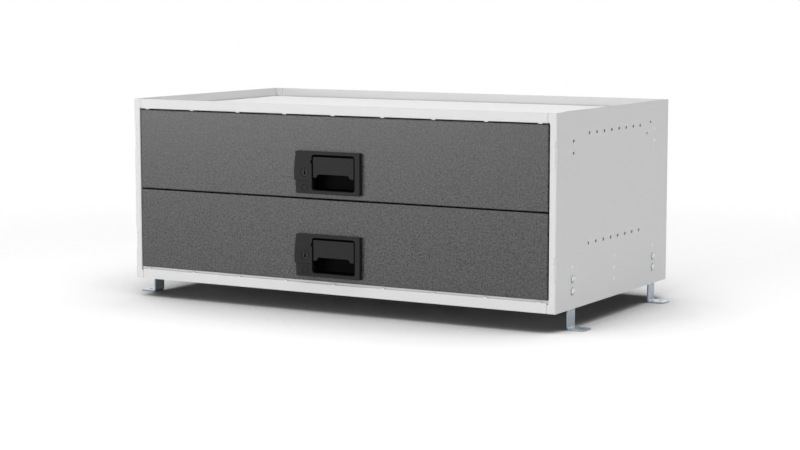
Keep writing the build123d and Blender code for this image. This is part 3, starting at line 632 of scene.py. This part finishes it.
def add_spring(row):
    """A round-wire torsion spring with two straight legs, in the place of the square coil."""
    node = f"{row}_paddle_spring"
    low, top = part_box(node)
    y, z = (low[1] + top[1]) / 2.0, (low[2] + top[2]) / 2.0
    start, run = low[0] + SPRING_WIRE, top[0] - low[0] - 2.0 * SPRING_WIRE
    path = [Vector((start, y + SPRING_RADIUS, z - SPRING_FOOT))]
    for step in range(SPRING_TURNS * SPRING_STEPS + 1):
        turn = 2.0 * math.pi * step / SPRING_STEPS
        share = step / (SPRING_TURNS * SPRING_STEPS)
        path.append(Vector((start + share * run, y + SPRING_RADIUS * math.cos(turn),
                            z + SPRING_RADIUS * math.sin(turn))))
    path.append(Vector((start + run, y + SPRING_RADIUS, z + SPRING_HAND)))
    rings = []
    for place, point in enumerate(path):
        along = path[min(place + 1, len(path) - 1)] - path[max(place - 1, 0)]
        out = along.cross(Vector((1.0, 0.0, 0.0))).normalized()
        side = out.cross(along).normalized()
        rings.append([point + SPRING_WIRE * (math.cos(a) * out + math.sin(a) * side)
                      for a in around(SPRING_WIRE_STEPS)])
    form = bmesh.new()
    add_rings(form, rings, capped=True)
    name, body = f"{row}_paddle_torsion_spring", f"{row}_paddle_lever"
    add_piece(name, form, body, "bright_steel", (node,), ROUND_SHARP)


def add_nuts():
    """Hexagon nuts with turned-off corners, in the place of the plain ones."""
    low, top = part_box("leg_nuts")
    form = bmesh.new()
    angles = around(NUT_STEPS)
    side_turn = math.radians(NUT_SIDE_TURN)
    slope = math.tan(math.radians(NUT_SLOPE))
    sides = [NUT_FLAT / math.cos(a % side_turn - side_turn / 2.0) for a in angles]
    falls = [(radius - NUT_FACE) * slope for radius in sides]

    def level(radius, depth):
        return [radius] * NUT_STEPS, [depth] * NUT_STEPS

    levels = (
        level(NUT_BORE, NUT_SINK), level(NUT_BORE + NUT_SINK, 0.0), level(NUT_FACE, 0.0), (sides, falls),
        (sides, [NUT_HIGH - fall for fall in falls]), level(NUT_FACE, NUT_HIGH),
        level(NUT_BORE + NUT_SINK, NUT_HIGH), level(NUT_BORE, NUT_HIGH - NUT_SINK),
    )
    for end in (low[0], top[0]):
        inward = -1.0 if end > 0.0 else 1.0
        for y in (low[1] + NUT_CORNER, top[1] - NUT_CORNER):
            for z in (low[2] + NUT_FLAT, top[2] - NUT_FLAT):
                rings = [[(end + inward * depth, y + radius * math.cos(a), z + radius * math.sin(a))
                          for a, radius, depth in zip(angles, radii, depths)] for radii, depths in levels]
                add_rings(form, rings, closed=True)
    add_piece("leg_hexagon_nuts", form, "cabinet", "bright_steel", ("leg_nuts",), NUT_SHARP)


def thread_radius(along, angle, hand, share):
    """Radius of a thread at an angle and a way along it; share fades it out at its ends."""
    turn = (along / BOLT_PITCH + hand * angle / (2.0 * math.pi)) % 1.0
    crest = 1.0 - abs(2.0 * turn - 1.0)
    return BOLT_ROOT + (BOLT_RADIUS - BOLT_ROOT) * crest * share


def bolt_rings(side, face, angles):
    """Rings of (distance from the cabinet's middle, angle, radius) of a bolt whose head sits on face."""
    rings = []
    for step in range(BOLT_THREAD_RINGS + 1):
        along = BOLT_THREAD * step / BOLT_THREAD_RINGS
        ends = min(along, BOLT_THREAD - along, BOLT_PITCH / 2.0) / (BOLT_PITCH / 2.0)
        rings.append([(face - BOLT_LONG + along, a, thread_radius(along, a, side, ends)) for a in angles])
    rings.append([(face, a, BOLT_RADIUS) for a in angles])
    rings.append([(face, a, BOLT_HEAD_RADIUS) for a in angles])
    dome_middle = face + BOLT_HEAD_HIGH - BOLT_DOME
    for step in range(1, BOLT_DOME_RINGS):
        radius = BOLT_HEAD_RADIUS * math.cos(math.pi / 2.0 * step / BOLT_DOME_RINGS)
        x = dome_middle + math.sqrt(BOLT_DOME ** 2 - radius ** 2)
        rings.append([(x, a, radius) for a in angles])
    return rings


def add_bolts():
    """Cup-head bolts with a rolled thread, in the place of the plain ones."""
    low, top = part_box("leg_bolts")
    form = bmesh.new()
    for side in (-1.0, 1.0):
        rings = bolt_rings(side, top[0] - BOLT_HEAD_HIGH, around(BOLT_STEPS))
        for y in (low[1] + BOLT_HEAD_RADIUS, top[1] - BOLT_HEAD_RADIUS):
            for z in (low[2] + BOLT_HEAD_RADIUS, top[2] - BOLT_HEAD_RADIUS):
                add_rings(form, [[(side * x, y + r * math.cos(a), z + r * math.sin(a)) for x, a, r in ring]
                                 for ring in rings], capped=True)
    add_piece("cup_head_bolts", form, "cabinet", "bright_steel", ("leg_bolts",), ROUND_SHARP)


def cross_depth(x, z):
    """Depth of a cross recess at x, z from the middle of a screw's head."""
    upright = min(CROSS_HALF - abs(x), CROSS_REACH - abs(z))
    level = min(CROSS_HALF - abs(z), CROSS_REACH - abs(x))
    return CROSS_DEEP * min(max(max(upright, level) / CROSS_SLOPE, 0.0), 1.0)


def add_drawer_screws(row):
    """Domed screws with a cross recess, in the place of the plain ones."""
    node = f"{row}_drawer_screws"
    low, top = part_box(node)
    seat = top[1] - HEAD_HIGH
    profile = [(SHANK_TIP, low[1]), (SHANK_RADIUS, low[1] + SHANK_RADIUS - SHANK_TIP),
               (SHANK_RADIUS, seat), (HEAD_RADIUS, seat)]
    for step in range(HEAD_RINGS):
        share = 1.0 - step / HEAD_RINGS
        dome = math.sqrt(max(1.0 - share ** 2, 0.0))
        profile.append((HEAD_RADIUS * share, seat + HEAD_RIM + (HEAD_HIGH - HEAD_RIM) * dome))
    form = bmesh.new()
    for x in (low[0] + HEAD_RADIUS, top[0] - HEAD_RADIUS):
        for z in (low[2] + HEAD_RADIUS, top[2] - HEAD_RADIUS):
            rings = []
            for radius, y in profile:
                ring = []
                for a in around(HEAD_STEPS):
                    dx, dz = radius * math.cos(a), radius * math.sin(a)
                    deep = cross_depth(dx, dz) if y > seat else 0.0
                    ring.append((x + dx, y - deep, z + dz))
                rings.append(ring)
            add_rings(form, rings, capped=True)
    add_piece(f"{row}_cross_screws", form, f"{row}_drawer", "bright_steel", (node,), CROSS_SHARP)


def add_marks(name, rises, slot):
    """Small round marks beside the pressed corners, on the flange and on the side of both panels:
    press-joining dimples, drawn in a dark finish as painted shade and in a white finish as painted
    highlight.
    """
    low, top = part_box("side_panel_right")
    form = bmesh.new()
    profile = [(across * MARK_RADIUS, out * MARK_PROUD) for across, out in MARK_SHARES]
    for side in (-1.0, 1.0):
        for z in rises:
            flange, flat = [], []
            for radius, proud in profile:
                flange.append([(side * (top[0] - MARK_IN) + radius * math.cos(a), low[1] - proud,
                                z + radius * math.sin(a)) for a in around(MARK_STEPS)])
                flat.append([(side * (top[0] + proud), low[1] + MARK_BACK + radius * math.cos(a),
                              z + radius * math.sin(a)) for a in around(MARK_STEPS)])
            add_rings(form, flange, capped=True)
            add_rings(form, flat, capped=True)
    add_piece(name, form, "cabinet", slot)


def add_fine_pieces():
    for row in ROWS:
        for rows_name, body_name, high in BALL_SETS:
            add_ball_rows(row, rows_name, body_name, high)
        add_spring(row)
        add_drawer_screws(row)
    add_nuts()
    add_bolts()
    # dimples: the dark marks are painted shade, the white marks painted highlight
    add_marks("shaded_dimple_marks", SHADED_DIMPLE_RISES, "lock_dark_metal")
    add_marks("highlit_dimple_marks", HIGHLIT_DIMPLE_RISES, "white_plastic")


add_camera()
add_world()
add_stage()
add_lamps()
materials = make_materials()
dress_nodes()
add_fine_pieces()

bpy.context.scene.view_settings.view_transform = "Standard"
